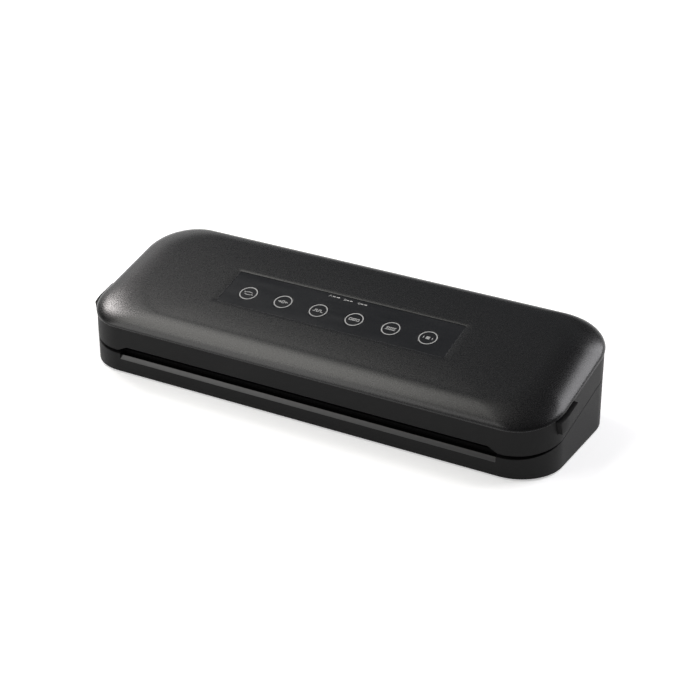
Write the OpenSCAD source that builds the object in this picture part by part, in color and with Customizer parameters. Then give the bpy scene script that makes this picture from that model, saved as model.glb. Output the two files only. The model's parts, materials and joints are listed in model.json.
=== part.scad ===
// Countertop vacuum packing machine. A wedge-shaped base holds the pump, the seal bar and
// the vacuum trough, and a domed lid with the keys is hinged along the rear edge.
// Front is -Y, up is +Z, and the origin is on the table under the middle of the machine.

/* [Body] */
// Length between the end walls
body_l = 370; // [368:1:376]
// Depth from front to rear
body_d = 121; // [120:1:123]
// Radius of the four plan corners
corner_r = 32; // [31:1:33]
// Wall thickness of the mouldings
wall = 2.4; // [2.2:0.1:2.6]
// Height that the rubber feet stand proud
foot_h = 1.2; // [1:0.1:1.6]
// Set-back of the base from the lid all round
base_inset = 0.1; // [0:0.1:0.8]

/* [Slopes] */
// Height of the parting plane at mid depth
parting_z = 30.2; // [30:0.1:31]
// Rise of the parting plane for each millimetre of depth
parting_slope = 0.24; // [0.23:0.005:0.25]
// Height of the trim edge under the dome at mid depth
trim_z = 49.5; // [49:0.1:50]
// Rise of the trim edge for each millimetre of depth
trim_slope = 0.22; // [0.21:0.005:0.23]
// Height of the crown at mid depth
crown_z = 59.2; // [59:0.1:60]
// Rise of the crown for each millimetre of depth
crown_slope = 0.267; // [0.26:0.001:0.27]

/* [Dome] */
// Run of the shoulder at the two ends
shoulder_x = 33; // [30:1:36]
// Run of the shoulder at the front and the rear
shoulder_y = 17.5; // [16:0.5:19]
// Overhang of the dome past the lid frame
dome_lip = 0.5; // [0.3:0.1:0.8]

/* [Control panel] */
// Length of the panel film
panel_l = 183.5; // [180:0.5:190]
// Depth of the panel film along the crown
panel_d = 35.3; // [34:0.1:37]
// Distance between neighbouring keys
key_pitch = 29.1; // [28:0.1:30]
// Radius of a key
key_r = 7.3; // [6.8:0.1:7.4]
// Travel of a key
key_travel = 0.4; // [0.3:0.05:0.4]

/* [Sealing] */
// Length of the seal bar
seal_l = 310; // [300:1:312]
// Length of the vacuum trough
trough_l = 302; // [290:1:304]
// Depth of the vacuum trough below the deck
trough_h = 10; // [8:0.5:10]
// Half the gap between the lid and the base
half_gap = 0.25; // [0.2:0.05:0.3]

/* [Hidden] */

$fn = 64;
far = 260;
eps = 0.01;

parting_tilt = atan(parting_slope);
trim_tilt = atan(trim_slope);
crown_tilt = atan(crown_slope);

// Deck and lid plate
deck_t = wall;
seat_t = 5;
cover_t = 2.4;
cover_top = foot_h + cover_t;

// Vacuum trough, gaskets and the recess in the lid above the trough
trough_v = -22;
trough_d = 26;
trough_r = 6;
recess_h = 6;
gasket_l = trough_l + 20;
gasket_d = trough_d + 16;
gasket_w = 5;
gasket_r = 10;
groove_h = 2.6;
groove_play = 0.2;

// Seal bar and press strip
seal_v = -49.5;
seal_w = 8;
bar_h = 3.9;
strip_t = 0.2;
tape_t = 0.3;
bar_floor = -4.8;

// Bag slot in the front, and the relief of the lid's lower edge at the front corners
slot_l = 289;
slot_l_low = 314;
slot_back_y = -54.9;
slot_top_z = 21.8;
sill_l = 301;
sill_z = 14.2;
sill_back_y = -54.5;
bevel_h = 3;
bevel_d = 2;
relief_v = -32;
relief_tilt = 4;

// Rear hinge
barrel_r = 5.2;
bay_r = 5.7;
hinge_y = body_d / 2 - 5.5;
hinge_z = parting_z + parting_slope * hinge_y + 1.5;
bay_l = 344;
knuckle_x = 105;
knuckle_w = 14;
knuckle_play = 0.3;
pin_r = 1.5;
pin_l = 38;
pin_play = 0.05;

// Release pads, hooks and catches, all drawn for the right end
pad_proud = 3.3;
pad_t = 6.6;
pad_v = -40.5;
pad_l = 25;
pad_h = 11;
pad_gap = 0.35;
pad_top_gap = 1;
hook_x = 174;
hook_t = 2.4;
hook_v = -27;
hook_w = 9;
hook_drop = 6;
barb = 1.8;
catch_w = -7.6;
catch_t = 3;
spring_x = 165;
spring_w = 9;
spring_r = 2.4;
wire_r = 0.35;

// Panel, keys and control board, measured from the crown plane
panel_x = -2;
panel_y = -1.1;
panel_sink = 0.3;
panel_t = 0.6;
panel_r = 1.5;
key_x0 = -2.5 - 2.5 * key_pitch;
key_y = -3.6;
key_well_r = key_r + 0.6;
film_hole_r = key_r + 0.25;
key_t = 1.6;
stem_r = 2;
stem_low = -4.4;
board_top = -9.3;
board_t = 1.6;
button_h = 0.85;
switch_h = stem_low - key_travel - 0.15 - button_h - board_top;
rib_at = [panel_x, -15.8];
rib_size = [200, 1.4];
rib_low = -6;
board_l = 172;
board_d = 27;
light_x = [-16, -6, 4];
light_y = 9;

// Screws: where they stand, and their sizes
base_screw_at = [[-170, 12], [170, 12], [-70, 12], [70, 12], [-100, -46.5], [100, -46.5]];
lid_screw_at = [[-171, 4], [171, 4], [-90, 25], [0, 25], [90, 25]];
board_screw_at = [[-80, -11], [80, -11], [-80, 9.5], [80, 9.5]];
screw_r = 1.4;
screw_play = 0.05;
base_screw_l = 9;
lid_screw_l = 12;
head_r = 2.7;
head_h = 1.6;
boss_r = 3.8;

// Pump, along X behind the trough
pump_y = 34;
pump_z = 17;
motor_x = 24;
motor_l = 30;
motor_r = 12.2;
can_t = 1;
shaft_r = 1;
bush_r = 3;
throw = 1.6;
eccentric_r = 4.5;
eccentric_x = 61;
case_x = motor_x + motor_l + 0.5;
case_l = 20;
case_d = 24;
diaphragm_t = 1.2;
barb_r = 2.2;
barb_l = 8;
tube_r = 3.2;

// Other parts on the bottom cover
valve_at = [104, 33, cover_top];
valve_travel = 1.5;
core_at = [-118, 21, cover_top];
core_size = [46, 24, 27];
pcb_at = [-62, 15, 8];
pcb_size = [74, 38, 1.6];
inlet_x = -145;
inlet_z = 19;
nozzle_x = 116;
manifold_z = 8.4;

shell_colour = "#202022";
dome_colour = "#2e2e31";
film_colour = "#26262b";
rubber_colour = "#3a3a3c";
metal_colour = "#b9bcc0";
copper_colour = "#a8623a";
brass_colour = "#b59a55";
board_colour = "#1f5a38";
clear_colour = "#c9d0d2";

// ---------- Shared shapes ----------

// Rectangle with round corners
module round_rect(l, d, r) {
    square([l - 2 * r, d], center = true);
    square([l, d - 2 * r], center = true);
    for (x = [-1, 1], y = [-1, 1])
        translate([x * (l / 2 - r), y * (d / 2 - r)]) circle(r);
}

// Plan outline of the machine, grown by a margin
module outline(grow = 0) {
    round_rect(body_l + 2 * grow, body_d + 2 * grow, corner_r + grow);
}

// Frames of the three sloping planes: Y runs up the slope and Z stands square on it
module on_parting() { translate([0, 0, parting_z]) rotate([parting_tilt, 0, 0]) children(); }
module on_trim() { translate([0, 0, trim_z]) rotate([trim_tilt, 0, 0]) children(); }
module on_crown() { translate([0, 0, crown_z]) rotate([crown_tilt, 0, 0]) children(); }

// All of space above or below the local XY plane
module over() { translate([-far, -far, 0]) cube([2 * far, 2 * far, far]); }
module under() { translate([-far, -far, -far]) cube([2 * far, 2 * far, far]); }

// Block of the plan outline between the parting plane and the trim plane
module lid_block(grow, raise) {
    difference() {
        linear_extrude(2 * trim_z) outline(grow);
        on_parting() translate([0, 0, raise]) under();
        on_trim() over();
    }
}

// Slab with round corners in a local frame, from one height to another
module slab(l, d, r, v, low, high) {
    translate([0, v, low]) linear_extrude(high - low) round_rect(l, d, r);
}

// Rectangular ring in a local frame, used for the gaskets and their grooves
module gasket_ring(play, low, high) {
    translate([0, trough_v, low]) linear_extrude(high - low) difference() {
        round_rect(gasket_l + 2 * play, gasket_d + 2 * play, gasket_r + play);
        round_rect(gasket_l - 2 * gasket_w - 2 * play, gasket_d - 2 * gasket_w - 2 * play,
            gasket_r - gasket_w - play);
    }
}

// Cylinder that lies along X
module along_x(r, x, l) { translate([x, 0, 0]) rotate([0, 90, 0]) cylinder(r = r, h = l); }

// Screw with its head below the local XY plane and its shank above it
module screw(l) {
    translate([0, 0, -head_h]) cylinder(r = head_r, h = head_h);
    translate([0, 0, -eps]) cylinder(r = screw_r, h = l + eps);
}

// Children at both ends of the machine, mirrored about the middle
module both_ends() {
    children();
    mirror([1, 0, 0]) children();
}

// Points on a smooth curve through a route's points
function catmull(a, b, c, d, t) =
    0.5 * (2 * b + (c - a) * t + (2 * a - 5 * b + 4 * c - d) * t * t
        + (3 * b - a - 3 * c + d) * t * t * t);
function smooth_route(p, steps) = [
    for (i = [0:len(p) - 2], k = [0:steps - 1])
        catmull(p[max(i - 1, 0)], p[i], p[i + 1], p[min(i + 2, len(p) - 1)], k / steps),
    p[len(p) - 1]];

// Round tube swept along points, with one ring of vertices at each
function unit(v) = v / norm(v);
function heading(p, i) = unit(p[min(i + 1, len(p) - 1)] - p[max(i - 1, 0)]);
function side_of(h) = unit(cross(h, abs(h.z) > 0.9 ? [1, 0, 0] : [0, 0, 1]));
function tube_ring(p, i, r, n) =
    let (h = heading(p, i), a = side_of(h), b = cross(h, a))
    [for (k = [0:n - 1]) p[i] + r * (cos(360 * k / n) * a + sin(360 * k / n) * b)];
module sweep(p, r, n = 10) {
    rings = len(p);
    polyhedron(
        points = [for (i = [0:rings - 1]) each tube_ring(p, i, r, n)],
        faces = [
            [for (k = [0:n - 1]) k],
            for (i = [0:rings - 2], k = [0:n - 1])
                let (k2 = (k + 1) % n)
                each [[i * n + k, (i + 1) * n + k, (i + 1) * n + k2],
                    [i * n + k, (i + 1) * n + k2, i * n + k2]],
            [for (k = [n - 1:-1:0]) (rings - 1) * n + k]]);
}

// ---------- Base ----------

// Hollow under the deck, leaving the deck, the trough, the seats and the screw bosses
module base_cavity() {
    difference() {
        linear_extrude(parting_z * 2) outline(-base_inset - wall);
        on_parting() {
            translate([0, 0, -deck_t]) over();
            slab(gasket_l + 6, gasket_d + 6, gasket_r + 3, trough_v, -seat_t, 0);
            slab(trough_l + 2 * wall, trough_d + 2 * wall, trough_r + wall, trough_v,
                -trough_h - wall, 0);
            slab(seal_l + 6, seal_w + 6, 2, seal_v, -seat_t - wall, 0);
            both_ends() catch_block();
        }
        translate([-bay_l / 2 - wall, hinge_y - bay_r - wall, hinge_z - bay_r - wall])
            cube([bay_l + 2 * wall, far, far]);
        translate([-sill_l / 2 - wall, -far, cover_top + 0.1])
            cube([sill_l + 2 * wall, far + sill_back_y + wall, far]);
        for (p = base_screw_at) translate([p.x, p.y, cover_top + 0.1]) cylinder(r = boss_r, h = far);
    }
}

// Ledge that a hook snaps under
module catch_block() {
    translate([hook_x + hook_t - 0.9, hook_v - hook_w / 2 - 1.5, catch_w - catch_t])
        cube([far, hook_w + 3, catch_t]);
}

// Room for the hook to come down through the deck or the lid plate
module hook_slot() {
    translate([hook_x - 5, hook_v - hook_w / 2 - 1, catch_w]) cube([11, hook_w + 2, far]);
}

// Front edge that the bag slides over: a level sill with a bevel below it
module sill_cut() {
    front = -body_d / 2 + base_inset;
    translate([-sill_l / 2, 0, 0]) rotate([90, 0, 90]) linear_extrude(sill_l)
        polygon([[front - bevel_d, sill_z - 2 * bevel_h], [front + bevel_d, sill_z],
            [sill_back_y, sill_z], [sill_back_y, far], [front - bevel_d, far]]);
}

module hinge_knuckles() {
    both_ends() translate([knuckle_x - knuckle_w / 2, hinge_y, hinge_z]) {
        along_x(barrel_r, 0, knuckle_w);
        translate([0, -4, -bay_r - eps]) cube([knuckle_w, 5, bay_r]);
    }
}

module base_housing() {
    color(shell_colour) difference() {
        union() {
            difference() {
                translate([0, 0, foot_h]) linear_extrude(2 * parting_z) outline(-base_inset);
                on_parting() translate([0, 0, -half_gap]) over();
                base_cavity();
                translate([-bay_l / 2, hinge_y - bay_r, hinge_z - bay_r]) cube([bay_l, far, far]);
                sill_cut();
            }
            hinge_knuckles();
        }
        on_parting() {
            slab(trough_l, trough_d, trough_r, trough_v, -trough_h, far);
            gasket_ring(groove_play, -groove_h - half_gap, far);
            slab(seal_l + 1, seal_w, 1, seal_v, bar_floor, far);
            both_ends() hook_slot();
        }
        both_ends() translate([0, hinge_y, hinge_z]) along_x(pin_r + pin_play, 80, 50);
        for (p = base_screw_at)
            translate([p.x, p.y, 0]) cylinder(r = screw_r + screw_play, h = foot_h + base_screw_l + 2.3);
        translate([nozzle_x, 0, 0]) on_parting()
            translate([0, trough_v, -trough_h - 2 * wall]) cylinder(r = 3.05, h = 2 * wall + 1);
        translate([inlet_x, body_d / 2, inlet_z]) rotate([90, 0, 0])
            translate([0, 0, -1]) linear_extrude(5) round_rect(24.4, 14.4, 3);
    }
}

module bottom_cover() {
    color(shell_colour) difference() {
        union() {
            translate([0, 0, foot_h]) linear_extrude(cover_t) outline(-base_inset - wall - 0.3);
            // Standoffs under the power board
            for (x = [5, pcb_size.x - 5], y = [5, pcb_size.y - 5])
                translate([pcb_at.x + x, pcb_at.y + y, cover_top - eps])
                    cylinder(r = 3, h = pcb_at.z - cover_top + eps);
            // Saddle under the motor
            difference() {
                translate([motor_x + 4, pump_y - 9, cover_top - eps]) cube([18, 18, 6]);
                translate([0, pump_y, pump_z]) along_x(motor_r + 0.05, motor_x - 1, motor_l + 2);
            }
        }
        for (p = base_screw_at) translate([p.x, p.y, 0]) {
            cylinder(r = screw_r + 0.2, h = far);
            translate([0, 0, foot_h - 1]) cylinder(r = head_r + 0.3, h = 1.2 + head_h);
        }
        // Foot seats and air slots
        for (x = [-1, 1], y = [-1, 1])
            translate([x * 150, y * 38, foot_h - 1]) cylinder(r = 7.1, h = 2);
        for (i = [0:6]) translate([90 + 5 * i, 8, 0]) cube([2.4, 18, far]);
    }
}

module rubber_feet() {
    color(rubber_colour) for (x = [-1, 1], y = [-1, 1]) translate([x * 150, y * 38, 0]) {
        cylinder(r1 = 6.4, r2 = 7, h = foot_h);
        translate([0, 0, foot_h - eps]) cylinder(r = 7, h = 1);
    }
}

module base_screws() {
    color(metal_colour) for (p = base_screw_at)
        translate([p.x, p.y, foot_h + 0.2 + head_h]) screw(base_screw_l);
}

module lower_gasket() {
    color(rubber_colour) on_parting() gasket_ring(0, -groove_h - half_gap + 0.05, -0.15);
}

module seal_bar() {
    color(metal_colour) on_parting()
        slab(seal_l, seal_w - 0.4, 0.8, seal_v, bar_floor + 0.02, bar_floor + bar_h);
}

module heating_strip() {
    color(brass_colour) on_parting()
        translate([-seal_l / 2 + 1, seal_v - 1.5, bar_floor + bar_h + 0.01]) cube([seal_l - 2, 3, strip_t]);
}

module release_tape() {
    color("#8a6a45") on_parting()
        translate([-seal_l / 2 + 0.5, seal_v - 3.4, bar_floor + bar_h + strip_t + 0.02])
            cube([seal_l - 1, 6.8, tape_t]);
}

// Air intake in the trough, with a manifold and two hose barbs below it
module intake_nozzle() {
    color(clear_colour) difference() {
        union() {
            translate([nozzle_x, 0, 0]) on_parting() translate([0, trough_v, 0]) {
                translate([0, 0, -trough_h - wall - 2]) cylinder(r = 3, h = wall + 8);
                translate([0, 0, -trough_h + 0.05]) cylinder(r = 5, h = 1);
            }
            translate([nozzle_x - 10, -24.5, manifold_z - 4]) cube([20, 10, 7]);
            for (x = [-5, 5]) translate([nozzle_x + x, -14.6, manifold_z]) rotate([-90, 0, 0])
                cylinder(r = barb_r, h = barb_l + 0.1);
        }
        translate([nozzle_x, 0, 0]) on_parting() translate([0, trough_v, -trough_h - wall - 4])
            cylinder(r = 1.6, h = far);
        for (x = [-5, 5]) translate([nozzle_x + x, -20, manifold_z]) rotate([-90, 0, 0])
            cylinder(r = 1.2, h = 20);
        translate([nozzle_x - 6.2, -19.5, manifold_z]) rotate([0, 90, 0]) cylinder(r = 1.2, h = 12.4);
    }
}

// ---------- Pump ----------

module pump_motor() {
    color(metal_colour) translate([0, pump_y, pump_z]) difference() {
        union() {
            along_x(motor_r, motor_x, motor_l);
            along_x(bush_r, motor_x + motor_l - eps, 2);
            along_x(bush_r, motor_x - 2, 2 + eps);
            for (y = [-1, 1]) translate([motor_x - 4, y * 7 - 1, 5]) cube([4 + eps, 2, 0.6]);
        }
        along_x(motor_r - can_t, motor_x + 2, motor_l - 4);
        along_x(shaft_r + pin_play, motor_x - 3, motor_l + 8);
    }
}

module motor_magnets() {
    color("#4a4a4d") translate([0, pump_y, pump_z]) difference() {
        along_x(motor_r - can_t - 0.02, motor_x + 4, 20);
        along_x(9.6, motor_x, 40);
        translate([motor_x, -far / 2, -3]) cube([40, far, 6]);
    }
}

module motor_rotor() {
    color(metal_colour) translate([0, pump_y, pump_z]) {
        along_x(shaft_r, motor_x - 1.5, eccentric_x + 6 - motor_x + 1.5);
        along_x(8.8, motor_x + 5, 18);
        along_x(4, motor_x + 24, 3.5);
        translate([0, 0, throw]) along_x(eccentric_r, eccentric_x, 6);
    }
}

module pump_housing() {
    color("#2a2a2c") translate([0, pump_y, pump_z]) difference() {
        translate([case_x, -case_d / 2, -12]) cube([case_l, case_d, 20]);
        translate([case_x + 2.5, -9.6, -9.6]) cube([case_l - 5, 19.2, 30]);
        along_x(bush_r + pin_play, case_x - 1, 5);
        pump_screw_holes();
    }
}

module pump_screw_holes() {
    for (x = [3, case_l - 3], y = [-10.6, 10.6])
        translate([case_x + x, y, -2]) cylinder(r = 0.85, h = 40);
}

// Rubber disc with the rod that the eccentric drives
module pump_diaphragm() {
    color(rubber_colour) translate([0, pump_y, pump_z]) {
        difference() {
            translate([case_x, -case_d / 2, 8]) cube([case_l, case_d, diaphragm_t]);
            pump_screw_holes();
        }
        difference() {
            union() {
                along_x(8.4, eccentric_x + 1, 4);
                translate([eccentric_x + 1, -3, 5]) cube([4, 6, 3 + eps]);
            }
            along_x(eccentric_r + throw + 0.5, eccentric_x, 6);
        }
    }
}

module pump_head() {
    low = 8 + diaphragm_t;
    color("#2a2a2c") translate([0, pump_y, pump_z]) difference() {
        union() {
            translate([case_x, -case_d / 2, low]) cube([case_l, case_d, 5]);
            for (y = [-5, 5]) translate([0, y, low + 2.6])
                along_x(barb_r, case_x + case_l - eps, barb_l + eps);
        }
        translate([case_x + case_l / 2, 0, low - 1]) cylinder(r = 7.5, h = 2.2);
        for (y = [-5, 5]) translate([0, y, low + 2.6]) along_x(1.2, case_x + case_l / 2, far);
        for (y = [-5, 5]) translate([case_x + case_l / 2 + 1.2, y, low]) cylinder(r = 1.2, h = 2.6);
        pump_screw_holes();
    }
}

module pump_screws() {
    color(metal_colour) translate([case_x, pump_y, pump_z]) for (x = [3, case_l - 3], y = [-10.6, 10.6])
        translate([x, y, 0]) {
            cylinder(r = 0.8, h = 14.3);
            translate([0, 0, 13.2 + diaphragm_t - 0.15]) cylinder(r = 1.6, h = 1);
        }
}

// Hollow hose that pushes over a barb at each end
module hose(route) {
    p = smooth_route(route, 4);
    lead_in = unit(p[1] - p[0]);
    lead_out = unit(p[len(p) - 1] - p[len(p) - 2]);
    color(clear_colour) difference() {
        sweep(p, tube_r);
        sweep([p[0] - lead_in, each p, p[len(p) - 1] + lead_out], barb_r + 0.2);
    }
}

module suction_tube() {
    x0 = nozzle_x - 5;
    x1 = case_x + case_l;
    y1 = pump_y - 5;
    z1 = pump_z + 8 + diaphragm_t + 2.6;
    hose([[x0, -13.9, manifold_z], [x0, -8, manifold_z], [x0, 0, 9.5], [x0 - 1, 8, 14],
        [x0 - 4, 16, 20], [x0 - 10, 24, z1 - 2], [x1 + 12, y1 - 0.4, z1], [x1 + 6, y1, z1],
        [x1 + 0.5, y1, z1]]);
}

module vent_tube() {
    x0 = nozzle_x + 5;
    y1 = valve_at.y - barb_l;
    hose([[x0, -13.9, manifold_z], [x0, -8, manifold_z], [x0, 2, 8.8], [valve_at.x + 15, 14, 10.5],
        [valve_at.x + 14, y1 + 1, 11.4], [valve_at.x + 14, valve_at.y - 0.6, 11.4]]);
}

// Solenoid valve that lets air back into the trough
module air_valve() {
    color("#46484b") translate(valve_at) difference() {
        union() {
            cube([20, 15, 15]);
            translate([14, eps, 7.8]) rotate([90, 0, 0]) cylinder(r = barb_r, h = barb_l);
        }
        translate([14, 5, 7.8]) rotate([90, 0, 0]) cylinder(r = 1.2, h = far);
        translate([0, 7.5, 7.8]) along_x(2.55, 6, far);
    }
}

module valve_plunger() {
    color(metal_colour) translate(valve_at) translate([0, 7.5, 7.8]) {
        along_x(2.5, 9, 11.5 + valve_travel);
        along_x(3.6, 20.3 + valve_travel, 1.2);
    }
}

// ---------- Electrics ----------

module transformer_core() {
    window = [10, core_size.z - 16];
    color("#5b5d60") translate(core_at) difference() {
        cube(core_size);
        for (x = [8, core_size.x - 8 - window[0]])
            translate([x, -1, 8]) cube([window[0], far, window[1]]);
    }
}

module transformer_coil() {
    color(copper_colour) translate(core_at) difference() {
        translate([8.3, -5, 8.3]) cube([core_size.x - 16.6, core_size.y + 10, core_size.z - 16.6]);
        translate([17.8, -0.3, 0]) cube([core_size.x - 35.6, core_size.y + 0.6, far]);
    }
}

module power_board() {
    color(board_colour) difference() {
        translate(pcb_at) cube(pcb_size);
        for (x = [5, pcb_size.x - 5], y = [5, pcb_size.y - 5])
            translate([pcb_at.x + x, pcb_at.y + y, 0]) cylinder(r = 1.6, h = far);
    }
}

module board_components() {
    color("#3b4350") translate([pcb_at.x, pcb_at.y, pcb_at.z + pcb_size.z]) {
        translate([12, 12, 0]) cylinder(r = 6, h = 15);
        translate([27, 11, 0]) cylinder(r = 4, h = 11);
        translate([38, 8, 0]) cube([19, 15, 15]);
        translate([12, 23, 0]) cube([14, 4, 14]);
        translate([33, 27, 0]) cube([22, 6, 8]);
        translate([62, 12, 0]) cube([6, 14, 7]);
    }
}

// Two-pole appliance socket, let into the rear wall
module mains_inlet() {
    color("#18181a") translate([inlet_x, body_d / 2 - base_inset, inlet_z]) rotate([90, 0, 0])
        difference() {
            union() {
                translate([0, 0, -0.6]) linear_extrude(0.6) round_rect(28, 18, 4);
                translate([0, 0, -eps]) linear_extrude(16) round_rect(24, 14, 2.8);
            }
            translate([0, 0, -1]) linear_extrude(12) {
                for (x = [-3.3, 3.3]) translate([x, 0]) circle(4.1);
                square([6.6, 8.2], center = true);
            }
            for (x = [-4.3, 4.3]) translate([x, 0, 5]) cylinder(r = 1.25, h = far);
        }
}

module inlet_pins() {
    color(brass_colour) translate([inlet_x, body_d / 2 - base_inset, inlet_z]) rotate([90, 0, 0])
        for (x = [-4.3, 4.3]) translate([x, 0, 2]) cylinder(r = 1.2, h = 18);
}

// Two small switches under the deck that feel the lid
module lid_switches() {
    color("#57585c") both_ends() on_parting() translate([166, 20, -deck_t - 7.2]) {
        cube([6, 13, 6.8]);
        translate([3, 4, 6.8 - eps]) cylinder(r = 1.2, h = 0.3);
    }
}

module base_harness() {
    color("#7b2e2e") sweep(smooth_route([[-10, 46, 19.6], [-16, 48, 22.5], [-30, 46, 26], [-44, 45, 29],
        [-56, 44.5, 33], [-60, 44, 37]], 4), 1.6, 8);
}

// ---------- Lid ----------

// Room for the bag to slide in, wider at its lower edge
module bag_slot() {
    low = parting_z - parting_slope * body_d / 2;
    run = (slot_l_low - slot_l) / 2 / (slot_top_z - low);
    translate([0, slot_back_y, 0]) rotate([90, 0, 0]) linear_extrude(far)
        polygon([[-slot_l / 2, slot_top_z], [slot_l / 2, slot_top_z],
            [slot_l / 2 + run * slot_top_z, 0], [-slot_l / 2 - run * slot_top_z, 0]]);
}

// Box round a release pad, shrunk by gaps for the pad itself
module pad_window(gap, top_gap) {
    on_trim() translate([150, pad_v + gap, gap - pad_h])
        cube([far, pad_l - 2 * gap, pad_h - gap - top_gap]);
}

// Plate over the trough with its seats, hollow above
module lid_cavity() {
    difference() {
        lid_block(-wall, wall);
        on_parting() {
            slab(gasket_l + 6, gasket_d + 6, gasket_r + 3, trough_v, 0, seat_t);
            slab(trough_l + 2 * wall, trough_d + 2 * wall, trough_r + wall, trough_v, 0, recess_h + wall);
            slab(seal_l + 6, seal_w + 6, 2, seal_v, 0, seat_t + wall);
            both_ends() {
                translate([spring_x - 2.5, hook_v - 5, 0]) cube([2.5, 10, 13.5]);
                for (v = [-7.4, 5.4]) translate([hook_x - 6, hook_v + v, 0]) cube([10, 2, 10]);
            }
            for (p = lid_screw_at) translate([p.x, p.y, 0]) cylinder(r = head_r + 1.6, h = seat_t);
        }
        along_barrel(barrel_r);
        translate([-slot_l_low / 2 - wall, -far, 0])
            cube([slot_l_low + 2 * wall, far + slot_back_y + wall, slot_top_z + wall]);
    }
    // Joint with the dome
    on_trim() translate([0, 0, -eps]) linear_extrude(1) outline(-wall);
}

module along_barrel(r) { translate([0, hinge_y, hinge_z]) along_x(r, -bay_l / 2 + 0.4, bay_l - 0.8); }

module lid_frame() {
    color(shell_colour) difference() {
        union() {
            difference() {
                lid_block(0, half_gap);
                lid_cavity();
                on_parting() translate([0, relief_v, half_gap]) rotate([-relief_tilt, 0, 0])
                    translate([-far, -far, -far]) cube([2 * far, far, far]);
                translate([-bay_l / 2 - 0.1, hinge_y, hinge_z - far]) cube([bay_l + 0.2, far, far]);
            }
            intersection() {
                along_barrel(barrel_r);
                linear_extrude(far) outline();
            }
        }
        on_parting() {
            slab(trough_l, trough_d, trough_r, trough_v, -far, recess_h);
            gasket_ring(groove_play, -far, groove_h + half_gap);
            slab(seal_l + 1, seal_w, 1, seal_v, -far, seat_t);
            both_ends() translate([0, 0, -far + 2 * wall - catch_w]) hook_slot_low();
            for (p = lid_screw_at) translate([p.x, p.y, 0]) {
                translate([0, 0, -1]) cylinder(r = screw_r + 0.2, h = far / 4);
                translate([0, 0, -1]) cylinder(r = head_r + 0.3, h = 1.6 + head_h);
            }
        }
        bag_slot();
        both_ends() {
            pad_window(0, -1);
            translate([0, hinge_y, hinge_z]) {
                along_x(bay_r, knuckle_x - knuckle_w / 2 - knuckle_play, knuckle_w + 2 * knuckle_play);
                along_x(pin_r + 0.02, knuckle_x - pin_l / 2 - 0.2, pin_l + 0.4);
            }
        }
        // Hole for the harness
        translate([-60, 0, 0]) on_parting() translate([0, 46, -1]) cylinder(r = 3, h = 6);
    }
}

// Slot in the lid plate for the hook arm
module hook_slot_low() {
    translate([hook_x - 4, hook_v - hook_w / 2 - 0.6, 0]) cube([8.5, hook_w + 1.2, far]);
}

// Skin of the dome. Each ring is the plan outline drawn in towards the crown, on its own height
function corner_point(l, d, r, q, a) =
    [(q == 0 || q == 3 ? 1 : -1) * (l / 2 - r) + r * cos(90 * q + a),
        (q < 2 ? 1 : -1) * (d / 2 - r) + r * sin(90 * q + a)];
function dome_ring(turn, grow, lift, n) =
    let (
        draw_x = shoulder_x * (1 - cos(turn)),
        draw_y = shoulder_y * (1 - cos(turn)),
        l = body_l + 2 * (grow - draw_x),
        d = body_d + 2 * (grow - draw_y),
        r = corner_r + grow)
    [for (q = [0:3], k = [0:n])
        let (p = corner_point(l, d, r, q, 90 * k / n),
            z0 = trim_z + trim_slope * p.y,
            z1 = crown_z + crown_slope * p.y + lift)
        [p.x, p.y, z0 + (z1 - z0) * sin(turn)]];
module dome_body(grow, lift) {
    n = 9;
    m = 4 * (n + 1);
    turns = [for (t = [0:9:90]) t];
    rings = [for (t = turns) dome_ring(t, grow, lift, n)];
    skirt = [for (p = rings[0]) [p.x, p.y, p.z - (lift < 0 ? 4 : 0)]];
    count = len(turns);
    polyhedron(
        points = [each skirt, for (r = rings) each r],
        faces = [
            [for (k = [0:m - 1]) k],
            for (i = [(lift < 0 ? 0 : 1):count - 1], k = [0:m - 1])
                let (a = (lift < 0 || i > 1 ? i : 0) * m, b = (i + 1) * m, k2 = (k + 1) % m)
                each [[a + k, b + k, b + k2], [a + k, b + k2, a + k2]],
            [for (k = [m - 1:-1:0]) count * m + k]]);
}

module top_cover() {
    color(dome_colour) difference() {
        union() {
            difference() {
                dome_body(dome_lip, 0);
                dome_body(dome_lip - wall, -wall);
            }
            intersection() {
                dome_body(dome_lip - 1, -1);
                on_crown() {
                    for (p = board_screw_at)
                        translate([panel_x + p.x, p.y, board_top]) cylinder(r = 2.6, h = far);
                    translate([rib_at.x, rib_at.y, rib_low]) linear_extrude(far)
                        square(rib_size, center = true);
                }
            }
            lid_bosses();
        }
        on_crown() {
            translate([panel_x, panel_y, -panel_sink - panel_t]) linear_extrude(far)
                round_rect(panel_l + 0.4, panel_d + 0.4, panel_r);
            for (i = [0:5]) translate([key_x0 + i * key_pitch, key_y, -far / 4])
                cylinder(r = key_well_r, h = far);
            for (x = light_x) translate([x, light_y, -far / 4]) cylinder(r = 1.3, h = far);
            for (p = board_screw_at)
                translate([panel_x + p.x, p.y, board_top - 1]) cylinder(r = 1.05, h = 6);
        }
        on_parting() for (p = lid_screw_at)
            translate([p.x, p.y, 0]) cylinder(r = screw_r + screw_play, h = 20);
    }
}

// Columns under the dome that the lid screws bite into
module lid_bosses() {
    intersection() {
        on_parting() for (p = lid_screw_at)
            translate([p.x, p.y, seat_t + 0.05]) cylinder(r = boss_r, h = far);
        union() {
            dome_body(dome_lip - 1, -1);
            on_trim() translate([0, 0, -40]) linear_extrude(40) outline(-wall - 1);
        }
    }
}

module control_panel() {
    color(film_colour) on_crown() difference() {
        translate([panel_x, panel_y, -panel_sink - panel_t + 0.01]) linear_extrude(panel_t - 0.01)
            round_rect(panel_l, panel_d, panel_r);
        for (i = [0:5]) translate([key_x0 + i * key_pitch, key_y, -far / 4])
            cylinder(r = film_hole_r, h = far);
    }
}

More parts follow.
